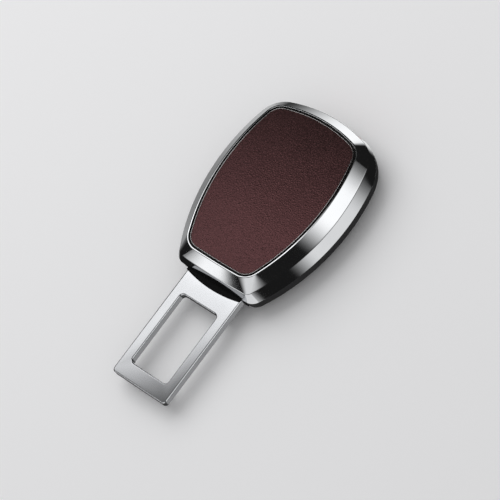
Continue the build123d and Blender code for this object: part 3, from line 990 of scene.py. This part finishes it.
# ---------------------------------------------------------------- cover screws
def cover_screw(node):
    """Pan-head screw, seen from below, with a cross recess and a grooved shank."""
    low, high = span(node)
    x, y = (low.x + high.x) / 2, (low.y + high.y) / 2
    head = (high.x - low.x) / 2
    bottom = low.z
    under_head = bottom + HEAD_HEIGHT
    profile = [(head * HEAD_CENTRE_SHARE, bottom), (head * HEAD_FLAT_SHARE, bottom + HEAD_DISH)]
    for i in range(1, HEAD_STEPS + 1):
        angle = i * pi / (2 * HEAD_STEPS)
        share = HEAD_FLAT_SHARE + (1 - HEAD_FLAT_SHARE) * sin(angle)
        profile.append((head * share, bottom + HEAD_DISH + HEAD_ROUNDING * (1 - cos(angle))))
    profile += [
        (head, under_head - HEAD_BREAK), (head - 2 * HEAD_BREAK, under_head), (SHANK_RADIUS, under_head)
    ]
    for i in range(THREAD_RINGS):
        start = bottom + THREAD_START + i * THREAD_PITCH
        profile += [(SHANK_RADIUS - THREAD_DEPTH, start), (SHANK_RADIUS, start + THREAD_PITCH / 2)]
    profile += [(SHANK_RADIUS - TIP_START, high.z - TIP_LENGTH), (SHANK_RADIUS - TIP_END, high.z)]
    piece = lathe(node + "_turned", (x, y), profile)
    z_span = (bottom - OVERSHOOT, bottom + RECESS_DEPTH)
    tools = []
    for wide, long in ((RECESS_WIDTH, RECESS_LENGTH), (RECESS_LENGTH, RECESS_WIDTH)):
        tools.append(soft_box("cross", (x - wide / 2, x + wide / 2), (y - long / 2, y + long / 2), z_span))
    cut(piece, tools)
    return piece


for node in SCREWS:
    screw = cover_screw(node)
    even_shading(screw, angle=40)
    finish_piece(screw, "housing", screw_steel, "screw_steel", node)


# ---------------------------------------------------------------- camera, floor and light, in metres
# The lens and the place were fitted to edges measured in the photograph.
camera = bpy.data.objects.new("camera", bpy.data.cameras.new("camera"))
bpy.context.scene.collection.objects.link(camera)
camera.data.sensor_width = 36
camera.data.lens = 182.352
camera.data.clip_start = 0.05
camera.data.clip_end = 20
camera.matrix_world = Matrix(
    (
        (0.727355, -0.441357, 0.525508, 0.447032),
        (0.593066, 0.789550, -0.157746, -0.130527),
        (-0.345293, 0.426398, 0.836037, 0.713987),
        (0, 0, 0, 1),
    )
)
bpy.context.scene.camera = camera


def level_sheet(name, x_span, y_span, z, look):
    """Level rectangle with a material."""
    (x0, x1), (y0, y1) = x_span, y_span
    mesh = bpy.data.meshes.new(name)
    mesh.from_pydata([(x0, y0, z), (x1, y0, z), (x1, y1, z), (x0, y1, z)], [], [(0, 1, 2, 3)])
    mesh.materials.append(look)
    piece = bpy.data.objects.new(name, mesh)
    bpy.context.scene.collection.objects.link(piece)
    return piece


def floor_material():
    """Matt pale grey."""
    made, _, _, shader = material("pale_floor")
    shader.inputs["Base Color"].default_value = (0.91, 0.91, 0.92, 1)
    shader.inputs["Roughness"].default_value = 0.9
    shader.inputs["Specular IOR Level"].default_value = 0.1
    return made


floor = level_sheet("floor", x_span=(-3, 3), y_span=(-3, 3), z=0, look=floor_material())
floor.visible_glossy = False


def area_light(name, place, target, size, power):
    """Rectangular light that faces a target."""
    light = bpy.data.lights.new(name, "AREA")
    light.shape = "RECTANGLE"
    light.size, light.size_y = size
    light.energy = power
    lamp = bpy.data.objects.new(name, light)
    bpy.context.scene.collection.objects.link(lamp)
    lamp.location = place
    lamp.rotation_euler = (Vector(target) - Vector(place)).to_track_quat("-Z", "Y").to_euler()
    return lamp


key = area_light("key_softbox", place=(-0.5, 0.2, 0.75), target=(0, 0, 0), size=(0.9, 0.9), power=4.2)
key.visible_glossy = False


def card_material():
    """Glow of the overhead card, by place.

    Over the tongue it brightens towards -X and +Y; over the inlay it fades towards +Y.
    """
    made = bpy.data.materials.new("overhead_card")
    made.use_nodes = True
    nodes, links = made.node_tree.nodes, made.node_tree.links
    nodes.clear()
    output = nodes.new("ShaderNodeOutputMaterial")
    glow = nodes.new("ShaderNodeEmission")
    place = nodes.new("ShaderNodeTexCoord").outputs["Object"]
    split = nodes.new("ShaderNodeSeparateXYZ")
    links.new(place, split.inputs[0])
    diagonal = nodes.new("ShaderNodeVectorMath")
    diagonal.operation = "DOT_PRODUCT"
    diagonal.inputs[1].default_value = (-0.7, 0.71, 0)
    links.new(place, diagonal.inputs[0])
    slant, y = diagonal.outputs["Value"], split.outputs["Y"]

    def ramp(value, start, end, low, high):
        """Smooth change from low to high between two places in millimetres."""
        return spread(nodes, links, value, low, high, start * MM, end * MM, "SMOOTHSTEP")

    over_tongue = compute(nodes, links, "MULTIPLY", ramp(slant, 6, 42, 0.1, 1.2), ramp(y, 4, 12, 1.0, 0.0))
    over_inlay = compute(nodes, links, "MULTIPLY", ramp(y, 4, 59, 2.6, 0.0), ramp(y, 3, 13, 0.0, 1.0))
    links.new(compute(nodes, links, "ADD", over_tongue, over_inlay), glow.inputs["Strength"])
    links.new(glow.outputs["Emission"], output.inputs["Surface"])
    return made


def overhead_card(x_span, y_span, z):
    """Level reflector that only polished surfaces see."""
    piece = level_sheet("overhead_card", x_span, y_span, z, card_material())
    piece.visible_camera = False
    piece.visible_diffuse = False
    piece.visible_shadow = False
    piece.visible_transmission = False


overhead_card(x_span=(-0.128, 0.03), y_span=(-0.08, 0.095), z=0.12)

# What polished surfaces see of the studio: soft panels by direction, in degrees. Azimuth 0 is along -Y and
# 90 along +X. Each row holds azimuths and heights, at which a panel starts, is full, fades and ends, and
# its strength.
PANELS = (
    ((81, 101, 114, 131), (14, 22, 48, 56), 1.4),
    ((-28, 6, 49, 59.5), (12, 20, 48, 56), 0.93),
    ((-36.8, -33.6, -32.2, -30.4), (2, 6, 14, 17), 1.36),
    ((70, 84, 106, 124), (-24, -16, 6, 12), 0.95),
    ((-37, -32, 49, 54.5), (-46, -42, 2, 8), 0.92),
    ((-62, -52, -40, -30), (26, 32, 46, 54), 0.6),
    ((-136, -122, -90, -76), (-60, -48, -12, -2), 0.27),
    ((-124, -114, -109, -97), (-60, -48, -12, -2), 0.28),
    ((-94, -86, -78, -62), (-36, -26, -8, 8), 0.13),
    ((-173, -159, -156, -132), (-32, -27, 0, 8), 1.36),
    ((-172, -138, -120, -112), (-75, -62, -48, -42), 0.85),
    ((60, 80, 135, 155), (-99, -95, -50, -42), 0.3),
    ((-200, -190, 190, 200), (-99, -95, -56, -48), 0.05),
    ((-200, -190, 190, 200), (48, 60, 95, 99), 0.22),
)
BETWEEN_PANELS = 0.012
ROOM_LIGHT = 0.5


def studio_world():
    """World whose light is even for matt surfaces and comes from the panels for polished ones."""
    world = bpy.data.worlds.new("studio")
    world.use_nodes = True
    nodes, links = world.node_tree.nodes, world.node_tree.links

    def number(operation, *values):
        """Result of a math node in this tree."""
        return compute(nodes, links, operation, *values)

    def window(value, rise, full, fall, end):
        """1 between full and fall, 0 outside rise and end, smooth between."""
        return number("MULTIPLY", spread(nodes, links, value, 0.0, 1.0, rise, full, "SMOOTHSTEP"),
                      spread(nodes, links, value, 0.0, 1.0, end, fall, "SMOOTHSTEP"))

    split = nodes.new("ShaderNodeSeparateXYZ")
    links.new(nodes.new("ShaderNodeTexCoord").outputs["Generated"], split.inputs[0])
    x, y, z = split.outputs
    azimuth = number("DEGREES", number("ARCTAN2", x, number("MULTIPLY", y, -1.0)))
    height = number("DEGREES", number("ARCSINE", z))
    seen = BETWEEN_PANELS
    for azimuths, heights, strength in PANELS:
        panel = number("MULTIPLY", window(azimuth, *azimuths), window(height, *heights))
        seen = number("ADD", seen, number("MULTIPLY", panel, strength))
    glossy = nodes.new("ShaderNodeLightPath").outputs["Is Glossy Ray"]
    plain = number("MULTIPLY", ROOM_LIGHT, number("SUBTRACT", 1.0, glossy))
    background = nodes["Background"]
    background.inputs["Color"].default_value = (1, 1, 1, 1)
    links.new(number("ADD", number("MULTIPLY", seen, glossy), plain), background.inputs["Strength"])
    return world


bpy.context.scene.world = studio_world()
bpy.context.scene.view_settings.view_transform = "Standard"
